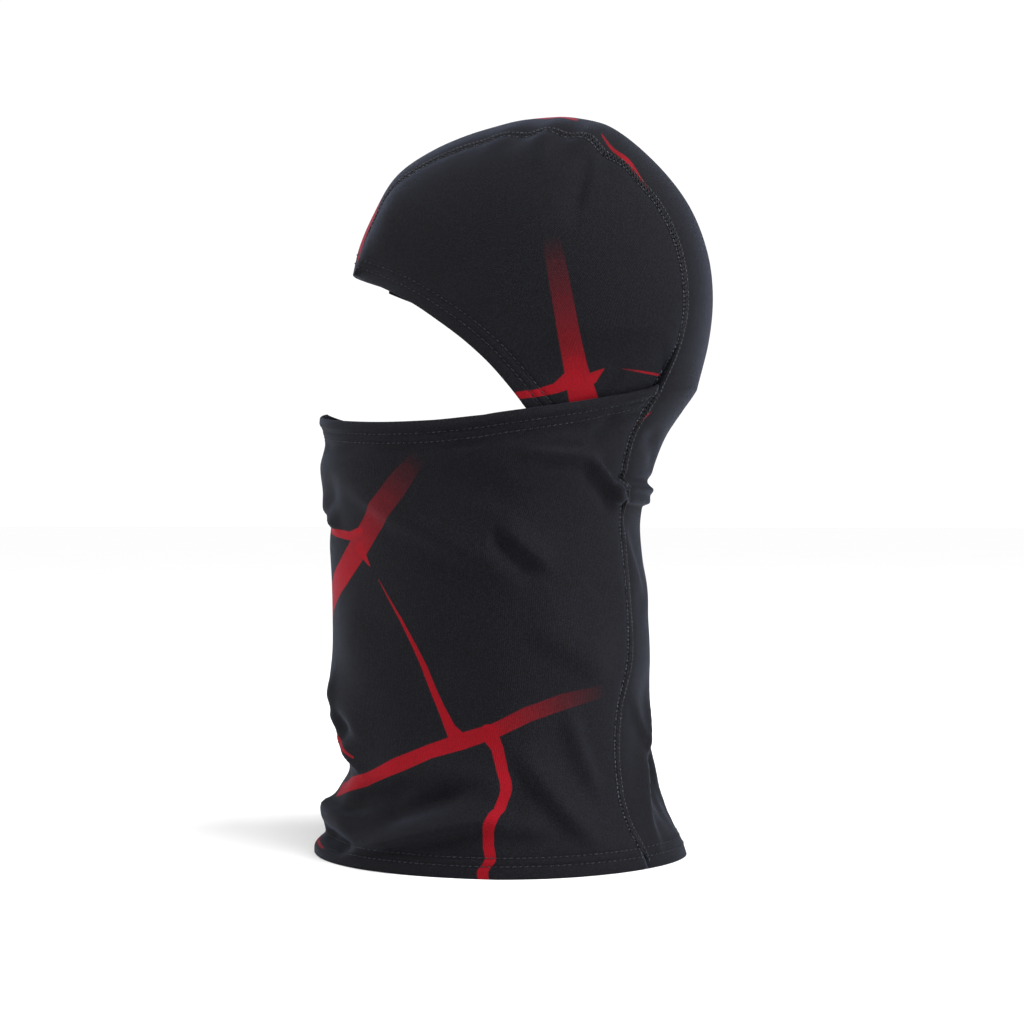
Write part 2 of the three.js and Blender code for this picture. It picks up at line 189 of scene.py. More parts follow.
# ---------------------------------------------------------------- the centre strip
def strip_row(v):
    """Middle, core, half-width, roundness and lateral half-width of the strip's rows.
    v runs from 0 at the forehead to 1 at the hood's turning line, then to 2 at the bottom hem."""
    v = np.asarray(v, float)
    crown = v <= 1
    z = NECK_HEIGHT * (2 - np.maximum(v, 1))
    up = smooth(z, 150, NECK_HEIGHT)[..., None]
    front = smooth(v, 0, 0.25)[..., None]
    zero = np.zeros_like(v)
    neck_middle = np.stack([zero, along(BACK, z), z], -1)
    neck_core = mix(np.stack([zero, zero, z], -1), POLE, up)
    crown_core = mix(np.array([0.0, 20.0, 272.0]), POLE, front)
    pick = crown[..., None]
    middle = np.where(pick, on(CROWN, v), neck_middle)
    core = np.where(pick, crown_core, neck_core)
    half = np.where(crown, along(CROWN_STRIP, v), along(NECK_STRIP, z))
    n_neck = mix(BACK_ROUNDNESS, CROWN_ROUNDNESS[-1][1], up[..., 0])
    n = np.where(crown, along(CROWN_ROUNDNESS, v), n_neck)
    width = np.where(crown, HALF_WIDTH, along(WIDTH, z))
    return middle, core, half, n, width


def neck_row(z):
    return 2 - z / NECK_HEIGHT


def strip_half(v):
    return strip_row(v)[2]


def strip_base(v, x):
    middle, core, _, n, width = strip_row(v)
    kept = fall(x / width, n)[..., None]
    point = mix(core, middle, kept)
    point[..., 0] = x
    return point


def nape_roll(z):
    """The shelf of cloth that buckles out where the hood meets the neck, with a dent along it."""
    shelf = 3.4 * smooth(z, 176.5, 179.5) * (1 - smooth(z, 186.2, 188.4))
    return shelf - 0.9 * np.exp(-(((z - 183) / 1.8) ** 2)) - 1.3 * np.exp(-(((z - 190) / 2.2) ** 2))


# ---------------------------------------------------------------- the hood's sides
def reach_table():
    ray = strip_row(1.3 * (1 - np.linspace(0, 1, 121)))[0] - POLE
    return [(math.atan2(r[2], r[1]), float(np.hypot(r[1], r[2]))) for r in ray]


CROWN_REACH = reach_table()


def hood_half_width(y, z):
    dy, dz = y - POLE[1], z - POLE[2]
    reach = along(CROWN_REACH, np.arctan2(dz, dy))
    return HALF_WIDTH * fall(np.minimum(1, np.hypot(dy, dz) / reach), 2.5)


def front_base(a, z):
    """The front panel. a runs from 0 at the front to 1 at the left seam and -1 at the right."""
    a, z = np.broadcast_arrays(np.asarray(a, float), np.asarray(z, float))
    share = np.abs(a)
    width = along(WIDTH, z)
    half = along(NECK_STRIP, z) + SEAM_GAP
    seam_angle = math.pi - np.arcsin((half / width) ** (BACK_ROUNDNESS / 2))

    def cut(angle):
        back = angle > math.pi / 2
        n = np.where(back, BACK_ROUNDNESS, FRONT_ROUNDNESS)
        reach = np.where(back, along(BACK, z), along(FRONT, z))
        x = width * np.maximum(np.sin(angle), 0) ** (2 / n)
        return np.stack([x, reach * np.abs(np.cos(angle)) ** (2 / n), z], -1)

    seam = strip_base(neck_row(z), half) - cut(seam_angle)
    point = cut(share * seam_angle) + seam * share[..., None] ** 6
    point[..., 0] *= np.where(a < 0, -1, 1)
    return point


def under_front(y, z, inset):
    """Half-width at (y, z) of a surface that lies inside the front panel by a clearance."""

    def drawn_in(a):
        p = front_base(a, z)
        run = front_base(a + 1e-3, z) - front_base(a - 1e-3, z)
        across = np.stack([run[..., 1], -run[..., 0], np.zeros_like(z)], -1)
        return p - across / np.linalg.norm(across, axis=-1, keepdims=True) * inset

    low, high = np.full_like(z, 0.1), np.ones_like(z)
    for _ in range(16):
        middle = (low + high) / 2
        ahead = drawn_in(middle)[..., 1] < y
        low, high = np.where(ahead, middle, low), np.where(ahead, high, middle)
    return drawn_in(high)[..., 0]


def hood_base(s, u):
    """The left hood panel. s runs from the forehead to the nape, u from the seam to the face edge."""
    s, u = np.broadcast_arrays(np.asarray(s, float), np.asarray(u, float))
    v = s * HOOD_ROWS_END
    half = strip_half(v) - HOOD_SEAM_OVERLAP
    seam = strip_base(v, half)
    tucked_seam = 1 - smooth(seam[..., 2], MASK_TURN[1] - 2, MASK_TURN[1] + 24)
    seam[..., 1] -= TUCK * tucked_seam
    edge = on(FACE, s)
    p = mix(seam, edge, u[..., None])
    y, z = p[..., 1], p[..., 2]
    at_seam = (half - hood_half_width(seam[..., 1], seam[..., 2])) * (1 - u) ** 2
    at_edge = (edge[..., 0] - hood_half_width(edge[..., 1], edge[..., 2])) * u**2
    x = hood_half_width(y, z) + at_seam + at_edge
    tucked = 1 - smooth(z, MASK_TURN[1] - 2, MASK_TURN[1] + 24)
    limit = under_front(y, np.minimum(z, 243.0), TUCK)
    p[..., 0] = np.where(tucked > 0, mix(x, np.minimum(x, limit), tucked), x)
    return p


# ---------------------------------------------------------------- surfaces with their folds
HALF_ROUND = 215.0  # about the distance from the front's middle round to a seam
FOLD_DEPTH = 1.4  # how deep the front panel's folds are, on the heights given with them


def facing(base, u, v):
    """Outward direction of base(u, v), level on the bottom hem so that it stays flat."""
    step = 1e-3
    du = base(u + step, v) - base(u - step, v)
    dv = base(u, v + step) - base(u, v - step)
    normal = np.cross(du, dv)
    normal /= np.maximum(np.linalg.norm(normal, axis=-1, keepdims=True), 1e-9)
    p = base(u, v)
    core = np.zeros_like(p)
    core[..., 2] = np.minimum(p[..., 2], 255)
    sign = np.sign(np.sum(normal * (p - core), -1, keepdims=True))
    normal = normal * np.where(sign == 0, 1, sign)
    normal[..., 2] *= smooth(p[..., 2], 0, HEM_TURN)
    return normal / np.linalg.norm(normal, axis=-1, keepdims=True)


def hood_facing(s, u):
    """The hood panel's outward direction, taken a little way in from its narrow brow corner."""
    return facing(hood_base, np.maximum(s, 0.04), u)


def lifted(base, relief, outward=None):
    """A surface that stands over base(u, v) by relief(u, v) and a further lift."""

    def surface(u, v, lift=0.0):
        u, v = np.broadcast_arrays(np.asarray(u, float), np.asarray(v, float))
        height = relief(u, v) + lift
        way = outward(u, v) if outward else facing(base, u, v)
        return base(u, v) + way * height[..., None]

    return surface


def seam_dip(distance):
    """Cloth is drawn in a little where the flatlock stitches hold it."""
    return -0.5 * np.exp(-((distance / 3.0) ** 2))


def pucker(length):
    """Short waves beside the seam over the crown, where it gathers the cloth."""
    wave = np.sin(length / 3.9 + 0.6) + 0.5 * np.sin(length / 6.7 + 2.0)
    return wave * np.exp(-(((length - 165) / 36) ** 2))


def strip_relief(v, x):
    half = strip_half(v)
    z = NECK_HEIGHT * (2 - v)
    share = np.abs(x) / half
    length = v * CROWN_LENGTH
    out = seam_dip(half - np.abs(x)) + nape_roll(z) * mix(1.0, 0.75, share)
    # the seam draws the crown into short waves beside the stitches
    out += 1.9 * pucker(length) * share**2
    # creases of the flared skirt behind
    out += folds(
        x, z,
        ((-8, 92), (28, 8), 4, 3.4, 0.5), ((20, 84), (-22, 4), 5, 2.4, -0.4),
        ((8, 74), (6, 16), 5, -2.0), ((26, 168), (10, 132), 5, 1.2, 0.5),
        ((-24, 150), (14, 120), 7, 0.9), ((24, 214), (2, 196), 5, -1.2),
    )
    return out * smooth(z, -1, 9)


def front_relief(a, z):
    left = np.where(a < 0, 0.0, 1.0)
    share = np.abs(a)
    u = share * HALF_ROUND
    rim = along(RIM, share)
    out = seam_dip((1 - share) * HALF_ROUND)
    out += nape_roll(z) * 0.75 * smooth(share, 0.9, 1.0)
    # creases that run from the nape's roll down and forward into the side
    out += folds(
        u, z,
        ((212, 181), (188, 200), 2.6, 3.4, 0.8), ((206, 176), (184, 196), 5, -2.4),
        ((194, 201), (150, 203), 2.8, 2.2, 0.8), ((190, 195), (156, 197), 3.5, -1.6),
        ((186, 205), (198, 222), 5, -1.2),
    )
    # soft folds under the mask, the first two not as deep on both sides
    out += mix(0.7, 1.0, left) * ridge(u, z, (62, 188), (140, 142), 8, 2.6, 0.3)
    out += mix(1.0, 0.8, left) * ridge(u, z, (84, 206), (150, 176), 9, -2.0)
    out += folds(
        u, z,
        ((134, 168), (164, 146), 3.6, 2.0, 0.8), ((126, 164), (156, 142), 5, -1.4),
        ((12, 178), (44, 166), 4, 2.2, 0.5), ((6, 160), (50, 190), 7, -1.8),
        ((150, 120), (196, 96), 9, 1.6, 0.5), ((60, 120), (120, 96), 11, -1.4),
        # facets above the front of the skirt
        ((6, 78), (62, 46), 5, 4.0, 0.7), ((4, 58), (52, 66), 6, -3.2),
        ((10, 96), (70, 62), 8, 2.4, 0.4), ((30, 92), (36, 50), 5, 2.0),
        ((40, 40), (100, 48), 8, 2.6, 0.6), ((52, 30), (96, 36), 6, -2.6),
        # the fold that spills over the front of the hem
        ((10, 25), (74, 21), 4.5, 4.0, -0.8), ((24, 13), (66, 9), 3.6, -3.6),
        ((66, 7), (140, 30), 4.5, 4.4, 0.7), ((78, 22), (128, 42), 6, -3.4),
        ((128, 26), (168, 22), 5, 1.8, 0.4), ((96, 52), (150, 40), 9, 1.6),
        ((150, 62), (192, 14), 7, 3.0, 0.4), ((176, 80), (200, 36), 5, 2.0),
    )
    out *= FOLD_DEPTH
    # gentle unevenness of soft cloth all over
    out += 0.45 * np.sin(u / 17 + left) * np.sin(z / 23 + 1.1) + 0.25 * np.sin(u / 9.5 + z / 14)
    # the mask's hem rolls out a little, and waves under its stitches
    wave = 1 + 0.6 * np.sin(u / 6.1 + 1.3) * np.sin(u / 16.7)
    below = rim - z
    out += 0.9 * np.exp(-(((below - 3.4) / 2.4) ** 2)) - 0.9 * wave * np.exp(-(((below - 13.5) / 2.2) ** 2))
    # hem stitches draw the rim and the bottom in
    for depth in HEM_ROWS["mask"]:
        out -= 0.45 * np.exp(-(((below - depth) / 0.9) ** 2))
    for depth in HEM_ROWS["bottom"]:
        out -= 0.4 * np.exp(-(((z - depth) / 0.9) ** 2))
    return out * smooth(z, -1, 7)


def hood_relief(s, u):
    reach = hood_reach(s)
    from_seam = u * reach
    from_edge = (1 - u) * reach
    length = s * HOOD_ROWS_END * CROWN_LENGTH
    out = seam_dip(from_seam)
    out += 1.9 * pucker(length) * np.exp(-((from_seam / 10) ** 2))
    drawn = np.minimum(1.0, reach / 30)
    for depth in HEM_ROWS["face"]:
        out -= 0.45 * drawn * np.exp(-(((from_edge - depth) / 0.9) ** 2))
    # two broad swells of the side, and narrow creases
    out += folds(
        length, from_seam,
        ((120, 40), (300, 70), 26, 1.2), ((60, 30), (150, 96), 14, -0.8),
        ((176, 2), (196, 40), 6, -1.8, 0.6), ((150, 0), (160, 24), 5, 1.2),
        ((290, 40), (318, 84), 7, -1.4, 0.5),
    )
    out += 0.2 * np.sin(length / 19 + 0.4) * np.sin(from_seam / 13)
    return out


_ROWS = np.linspace(0, 1, 200)
_REACH = np.linalg.norm(on(FACE, _ROWS) - hood_base(_ROWS, np.zeros_like(_ROWS)), axis=-1)


def hood_reach(s):
    """Distance from the seam to the face edge on each row of the hood panel."""
    return np.interp(s, _ROWS, _REACH)


strip_surface = lifted(strip_base, strip_relief)
front_surface = lifted(front_base, front_relief)
hood_surface = lifted(hood_base, hood_relief, hood_facing)


# ---------------------------------------------------------------- making meshes
def deselect():
    if bpy.context.object and bpy.context.object.mode != "OBJECT":
        bpy.ops.object.mode_set(mode="OBJECT")
    bpy.ops.object.select_all(action="DESELECT")


def apply(piece, kind, **values):
    modifier = piece.modifiers.new(kind.lower(), kind)
    for name, value in values.items():
        setattr(modifier, name, value)
    bpy.context.view_layer.objects.active = piece
    bpy.ops.object.modifier_apply(modifier=modifier.name)


def leave_inside_plain(piece, faces_a_side):
    """Streaks are printed on the outer side only. The inner faces, which come after the outer ones in the
    mesh, get a place off the chart of the streaks."""
    chart = piece.data.uv_layers["print"].data
    drawn_at = np.empty(len(piece.data.loops) * 2)
    chart.foreach_get("uv", drawn_at)
    one_side = faces_a_side * 4 * 2  # four corners a face, two values a corner
    drawn_at[one_side : 2 * one_side] += OFF_THE_PRINT
    chart.foreach_set("uv", drawn_at)


def cloth_panel(name, points, flat, printed):
    """A knit panel: a grid laid on points[row, column], then given the cloth's thickness inwards.
    flat and printed are its two UV maps, in metres: along the cloth, and where its streaks are drawn."""
    rows, columns = points.shape[:2]
    deselect()
    bpy.ops.mesh.primitive_grid_add(x_subdivisions=columns - 1, y_subdivisions=rows - 1, size=1)
    piece = bpy.context.object
    piece.name = piece.data.name = name
    mesh = piece.data
    place = np.empty(len(mesh.vertices) * 3)
    mesh.vertices.foreach_get("co", place)
    place = place.reshape(-1, 3)
    column = np.rint((place[:, 0] - place[:, 0].min()) * (columns - 1)).astype(int)
    row = np.rint((place[:, 1] - place[:, 1].min()) * (rows - 1)).astype(int)
    mesh.vertices.foreach_set("co", (points[row, column] * MM).ravel())
    corner = np.empty(len(mesh.loops), int)
    mesh.loops.foreach_get("vertex_index", corner)
    mesh.uv_layers[0].name = "cloth"
    for layer, chart in (("cloth", flat), ("print", printed)):
        target = mesh.uv_layers.get(layer) or mesh.uv_layers.new(name=layer)
        target.data.foreach_set("uv", (chart[row[corner], column[corner]] * MM).ravel())
    mesh.update()
    middle = mesh.polygons[(rows // 2) * (columns - 1) + columns // 2]
    core = Vector((0, 0, min(middle.center.z, 0.25)))
    if middle.normal.dot(middle.center - core) < 0:
        mesh.flip_normals()
    apply(piece, "SOLIDIFY", thickness=CLOTH * MM, offset=-1, use_rim=True)
    leave_inside_plain(piece, (rows - 1) * (columns - 1))
    deselect()
    piece.select_set(True)
    bpy.ops.object.shade_smooth()
    return piece


def hem_turn(inner_end):
    """Distance from the edge and lift of a turned hem's rows, from its raw end round to the face."""
    turned = [(d, -2 * HEM_ROLL) for d in np.linspace(inner_end, HEM_ROLL, 7)[:-1]]
    arc = [(HEM_ROLL * (1 - math.sin(t)), HEM_ROLL * (math.cos(t) - 1)) for t in np.linspace(math.pi, 0, 8)]
    return turned + arc[:-1]


FINE = list(np.arange(HEM_ROLL, HEM_TURN + 1, 0.75))  # rows close enough for the stitch grooves


def run_length(points, axis):
    steps = np.linalg.norm(np.diff(points, axis=axis), axis=-1)
    start = np.zeros_like(np.take(steps, [0], axis))
    return np.concatenate([start, np.cumsum(steps, axis)], axis)


def make_front_panel():
    across = np.linspace(-1, 1, 211)
    hem = hem_turn(HEM_TURN)
    rim = along(RIM, np.abs(across))
    z, lift = [], []
    for back, up in hem:
        z.append(np.full_like(across, back))
        lift.append(up)
    for back in FINE:
        z.append(np.full_like(across, back))
        lift.append(0.0)
    for t in np.linspace(0, 1, 138)[1:-1]:
        z.append(mix(FINE[-1], rim - FINE[-1], t))
        lift.append(0.0)
    for back in reversed(FINE):
        z.append(rim - back)
        lift.append(0.0)
    for back, up in reversed(hem):
        z.append(rim - back)
        lift.append(up)
    z = np.array(z)
    lift = np.array(lift)[:, None] * np.ones_like(z)
    a = np.broadcast_to(across, z.shape)
    points = front_surface(a, z, lift=lift)
    around = run_length(front_base(a, z), 1)
    around -= around[:, [len(across) // 2]]
    up = run_length(points, 0)
    up -= up[[len(hem)]]
    flat = np.stack([around, up], -1)
    printed = np.stack([around, z], -1)
    return cloth_panel("front_panel", points, flat, printed)


def make_centre_strip():
    share = np.linspace(-1, 1, 37)
    hem = hem_turn(HEM_TURN)
    crown = [d / CROWN_LENGTH for d in FINE]
    neck = [2 - d / NECK_HEIGHT for d in reversed(FINE)]
    rows = [(d / CROWN_LENGTH, up) for d, up in hem] + [(v, 0.0) for v in crown]
    rows += [(v, 0.0) for v in np.linspace(crown[-1], 1, 170)[1:]]
    rows += [(v, 0.0) for v in np.linspace(1, neck[0], 250)[1:-1]]
    rows += [(v, 0.0) for v in neck] + [(2 - d / NECK_HEIGHT, up) for d, up in reversed(hem)]
    v = np.array([r[0] for r in rows])[:, None] * np.ones_like(share)
    lift = np.array([r[1] for r in rows])[:, None] * np.ones_like(share)
    x = share * strip_half(v)
    points = strip_surface(v, x, lift=lift)
    down = run_length(points, 0)
    down -= down[[len(hem)]]
    flat = np.stack([x, down], -1)
    return cloth_panel("centre_strip", points, flat, flat)


def make_hood_panel(name, side):
    s = np.linspace(0, 1, 216)[:, None]
    reach = hood_reach(s)
    scale = np.minimum(1, reach / 34)
    columns = [(t * (reach - FINE[-1] * scale), 0.0) for t in np.linspace(0, 1, 64)]
    columns += [(reach - d * scale, 0.0) for d in reversed(FINE[:-1])]
    columns += [(reach - d * scale, up) for d, up in reversed(hem_turn(HEM_TURN))]
    from_seam = np.concatenate([c[0] for c in columns], 1)
    lift = np.array([c[1] for c in columns]) * np.ones_like(scale)
    rows = np.broadcast_to(s, from_seam.shape)
    points = hood_surface(rows, from_seam / reach, lift=lift)
    points[..., 0] *= side
    down = run_length(points, 0)[:, [0]] * np.ones_like(from_seam)
    out = run_length(points, 1)
    flat = np.stack([out * side, -down], -1)
    printed = points[..., 1:]
    return cloth_panel(name, points, flat, printed)


# ---------------------------------------------------------------- stitches
def model_grain():
    """One stitch as a short rounded length of thread, one millimetre each way."""
    deselect()
    bpy.ops.mesh.primitive_uv_sphere_add(segments=6, ring_count=5, radius=0.5, rotation=(0, math.pi / 2, 0))
    bpy.ops.object.transform_apply(location=False, rotation=True, scale=False)
    grain = bpy.context.object
    points = np.array([v.co for v in grain.data.vertices])
    points[:, 0] = np.sign(points[:, 0]) * 0.5 * np.abs(points[:, 0] * 2) ** 0.8
    faces = [list(p.vertices) for p in grain.data.polygons]
    bpy.data.objects.remove(grain)
    return points, faces


GRAIN = model_grain()


def stitched(name, stitches, material):
    """Copies of the stitch in one piece. A stitch is (middle, run, normal, width, height)."""
    points, faces = GRAIN
    middle = np.vstack([s[0] for s in stitches])
    run = np.vstack([s[1] for s in stitches])
    normal = np.vstack([s[2] for s in stitches])
    size = np.vstack([np.broadcast_to(s[3:5], (len(s[0]), 2)) for s in stitches])
    length = np.linalg.norm(run, axis=1, keepdims=True)
    ahead = run / length
    across = np.cross(normal, ahead)
    across /= np.linalg.norm(across, axis=1, keepdims=True)
    up = np.cross(ahead, across)
    copies = (
        middle[:, None]
        + points[None, :, [0]] * (ahead * length)[:, None]
        + points[None, :, [1]] * (across * size[:, [0]])[:, None]
        + points[None, :, [2]] * (up * size[:, [1]])[:, None]
    )
    count = len(points)
    all_faces = [[i + k * count for i in f] for k in range(len(middle)) for f in faces]
    mesh = bpy.data.meshes.new(name)
    mesh.from_pydata((copies.reshape(-1, 3) * MM).tolist(), [], all_faces)
    mesh.update()
    piece = bpy.data.objects.new(name, mesh)
    bpy.context.scene.collection.objects.link(piece)
    deselect()
    piece.select_set(True)
    bpy.context.view_layer.objects.active = piece
    bpy.ops.object.mode_set(mode="EDIT")
    bpy.ops.mesh.select_all(action="SELECT")
    bpy.ops.mesh.normals_make_consistent(inside=False)
    bpy.ops.object.mode_set(mode="OBJECT")
    bpy.ops.object.shade_smooth()
    mesh.materials.append(material)
    return piece


def paced(points, normals, pitch, phase=0.0):
    """Places and outward directions at even steps along a line."""
    reach = run_length(points, 0)
    at = np.arange(pitch * (0.5 + phase), reach[-1] - pitch * 0.4, pitch)
    place = np.stack([np.interp(at, reach, points[:, k]) for k in range(3)], -1)
    up = np.stack([np.interp(at, reach, normals[:, k]) for k in range(3)], -1)
    return place, up / np.linalg.norm(up, axis=1, keepdims=True)


def dashes(points, normals, pitch, share, width, height, slant=0.0):
    """Needle thread seen as one dash a stitch. slant turns each dash a little on the cloth."""
    place, up = paced(points, normals, pitch)
    ahead = np.gradient(place, axis=0)
    ahead /= np.linalg.norm(ahead, axis=1, keepdims=True)
    ahead = ahead + np.cross(up, ahead) * slant
    return place + up * height * 0.25, ahead * pitch * share, up, width, height


def zigzag(first, second, pitch, width, height, lift):
    """Looper thread that crosses from one needle row to the other and back."""
    a, up = paced(*first, pitch)
    b, _ = paced(*second, pitch, 0.5)
    count = min(len(a), len(b)) - 1
    a, b, up = a[: count + 1], b[: count + 1], up[: count + 1]
    out = (a[:count] + b[:count]) / 2, (b[:count] - a[:count]) * 1.04
    back = (b[:count] + a[1:]) / 2, (a[1:] - b[:count]) * 1.04
    shift = up[:count] * lift
    return [
        (out[0] + shift, out[1], up[:count], width, height),
        (back[0] + shift, back[1], up[:count], width, height),
    ]


# ---------------------------------------------------------------- lines that the stitches follow
def beside_seam(v, offset):
    """Points and outward directions at a distance from the left seam, on the strip where it is below zero."""
    if offset <= 0:
        x = strip_half(v) + offset
        return strip_surface(v, x), facing(strip_base, v, x)
    s = np.minimum(v, 1) / HOOD_ROWS_END
    u = offset / hood_reach(s)
    z = NECK_HEIGHT * (2 - np.maximum(v, 1))
    speed = np.linalg.norm(front_base(1.0, z) - front_base(0.999, z), axis=-1) / 0.001
    a = 1 - offset / speed
    pick = (v < 1)[:, None]
    points = np.where(pick, hood_surface(s, u), front_surface(a, z))
    return points, np.where(pick, hood_facing(s, u), facing(front_base, a, z))


def sided(line, side):
    turn = np.array([side, 1.0, 1.0])
    return line[0] * turn, line[1] * turn


def mask_line(depth):
    a = np.linspace(-0.985, 0.985, 300)
    z = along(RIM, np.abs(a)) - depth
    return front_surface(a, z), facing(front_base, a, z)


def bottom_line(depth):
    a = np.linspace(-0.99, 0.99, 300)
    z = np.full_like(a, depth)
    x = np.linspace(1, -1, 40) * (strip_half(neck_row(depth)) - 0.5)
    v = np.full_like(x, neck_row(depth))
    points = np.vstack([front_surface(a, z), strip_surface(v, x)])
    return points, np.vstack([facing(front_base, a, z), facing(strip_base, v, x)])


def face_line(depth, least=0.0):
    """Up the left edge from the nape, over the forehead and down the right edge.
    Where the panel is less than least wide, the line leaves it out."""
    rows = np.linspace(0.97, 0.002, 500)
    rows = rows[hood_reach(rows) > max(depth * 1.03, least)]
    u = 1 - depth / hood_reach(rows)
    points, normals = hood_surface(rows, u), hood_facing(rows, u)
    x = np.linspace(1, -1, 60)
    level = depth / CROWN_LENGTH
    v = mix(level, max(level, rows[-1] * HOOD_ROWS_END), np.abs(x) ** 5)
    x = x * (strip_half(v) - 0.4)
    turn = np.array([-1.0, 1.0, 1.0])
    return (
        np.vstack([points, strip_surface(v, x), points[::-1] * turn]),
        np.vstack([normals, facing(strip_base, v, x), normals[::-1] * turn]),
    )


# ---------------------------------------------------------------- materials
def socket_group(name, inputs, outputs):
    """A node group with its sockets, given as (name, kind) pairs, and its two end nodes."""
    group = bpy.data.node_groups.new(name, "ShaderNodeTree")
    for label, kind in inputs:
        group.interface.new_socket(label, in_out="INPUT", socket_type=kind)
    for label, kind in outputs:
        group.interface.new_socket(label, in_out="OUTPUT", socket_type=kind)
    return group, group.nodes.new("NodeGroupInput").outputs, group.nodes.new("NodeGroupOutput").inputs


def wire(tree, kind, *sources, **settings):
    """Adds a node, feeds its inputs in turn with sockets or plain values, and returns its first output."""
    node = tree.nodes.new(kind)
    for key, value in settings.items():
        setattr(node, key, value)
    for target, source in zip(node.inputs, sources):
        if isinstance(source, bpy.types.NodeSocket):
            tree.links.new(source, target)
        elif source is not None:
            target.default_value = source
    return node.outputs[0]


def maths(tree, operation, *sources):
    return wire(tree, "ShaderNodeMath", *sources, operation=operation)


def vectors(tree, operation, *sources):
    node = tree.nodes.new("ShaderNodeVectorMath")
    node.operation = operation
    for target, source in zip(node.inputs, sources):
        if isinstance(source, bpy.types.NodeSocket):
            tree.links.new(source, target)
        else:
            target.default_value = source
    return node.outputs["Value"] if operation in ("DOT_PRODUCT", "LENGTH") else node.outputs["Vector"]


def noise(tree, place, scale, detail):
    """Noise at a place, as the socket that holds its value."""
    node = tree.nodes.new("ShaderNodeTexNoise")
    node.inputs["Scale"].default_value = scale
    node.inputs["Detail"].default_value = detail
    tree.links.new(place, node.inputs["Vector"])
    return node.outputs["Fac"]


def two_tones(tree, share, low, dark, high, light):
    """A ramp from one colour at low to another at high."""
    node = tree.nodes.new("ShaderNodeValToRGB")
    first, last = node.color_ramp.elements
    first.position, first.color = low, (*dark, 1)
    last.position, last.color = high, (*light, 1)
    tree.links.new(share, node.inputs["Fac"])
    return node.outputs["Color"]


def raise_surface(tree, surface, height, strength, distance):
    node = tree.nodes.new("ShaderNodeBump")
    node.inputs["Strength"].default_value = strength
    node.inputs["Distance"].default_value = distance
    tree.links.new(height, node.inputs["Height"])
    tree.links.new(node.outputs["Normal"], surface.inputs["Normal"])


def jersey_group():
    """Rows of knitted loops: a height for the bump, and painted shade in the grooves between them, a tone
    from 0 in the grooves to 1 on the loops.
    """
    group, given, result = socket_group(
        "jersey_loops",
        [("Place", "NodeSocketVector"), ("Wale", "NodeSocketFloat"), ("Course", "NodeSocketFloat")],
        [("Height", "NodeSocketFloat"), ("Painted_groove_shade", "NodeSocketFloat")],
    )
    parts = group.nodes.new("ShaderNodeSeparateXYZ")
    group.links.new(given["Place"], parts.inputs[0])
    across = maths(group, "DIVIDE", parts.outputs["X"], given["Wale"])
    along_it = maths(group, "DIVIDE", parts.outputs["Y"], given["Course"])
    wale = maths(group, "SINE", maths(group, "MULTIPLY", across, 2 * math.pi))
    legs = maths(group, "MULTIPLY", maths(group, "ABSOLUTE", maths(group, "SUBTRACT", maths(
        group, "FRACT", across), 0.5)), 1.4)
    loops = maths(group, "SINE", maths(group, "MULTIPLY", maths(group, "ADD", along_it, legs), 2 * math.pi))
    both = maths(group, "ADD", maths(group, "MULTIPLY", wale, 0.6), maths(group, "MULTIPLY", loops, 0.4))
    height = maths(group, "MULTIPLY_ADD", both, 0.5, 0.5)
    group.links.new(height, result["Height"])
    # painted shade: the loops' low places, where shade falls, come out darker
    group.links.new(maths(group, "SMOOTH_MIN", height, 0.8, 0.3), result["Painted_groove_shade"])
    return group


def streak_group():
    """One length of a streak, from Start to End in millimetres: its ink, softened across and along it."""
    group, given, result = socket_group(
        "streak_length",
        [
            ("Place", "NodeSocketVector"), ("Start", "NodeSocketVector"), ("End", "NodeSocketVector"),
            ("Start half", "NodeSocketFloat"), ("End half", "NodeSocketFloat"),
            ("Start ink", "NodeSocketFloat"), ("End ink", "NodeSocketFloat"),
        ],
        [("Ink", "NodeSocketFloat")],
    )
    off = vectors(group, "SUBTRACT", given["Place"], given["Start"])
    run = vectors(group, "SUBTRACT", given["End"], given["Start"])
    share = maths(group, "DIVIDE", vectors(group, "DOT_PRODUCT", off, run), vectors(
        group, "DOT_PRODUCT", run, run))
    held = wire(group, "ShaderNodeClamp", share, 0.0, 1.0)
    scaled = group.nodes.new("ShaderNodeVectorMath")
    scaled.operation = "SCALE"
    group.links.new(run, scaled.inputs[0])
    group.links.new(held, scaled.inputs["Scale"])
    away = vectors(group, "LENGTH", vectors(group, "SUBTRACT", off, scaled.outputs["Vector"]))
    half = maths(group, "MULTIPLY_ADD", held, maths(
        group, "SUBTRACT", given["End half"], given["Start half"]), given["Start half"])
    edge = group.nodes.new("ShaderNodeMapRange")
    edge.interpolation_type = "SMOOTHSTEP"
    group.links.new(maths(group, "SUBTRACT", away, half), edge.inputs["Value"])
    edge.inputs["From Min"].default_value = -0.25
    edge.inputs["From Max"].default_value = 0.25
    edge.inputs["To Min"].default_value = 1.0
    edge.inputs["To Max"].default_value = 0.0
    ink = maths(group, "MULTIPLY_ADD", held, maths(
        group, "SUBTRACT", given["End ink"], given["Start ink"]), given["Start ink"])
    group.links.new(maths(group, "MULTIPLY", edge.outputs["Result"], ink), result["Ink"])
    return group


JERSEY = jersey_group()
STREAK = streak_group()


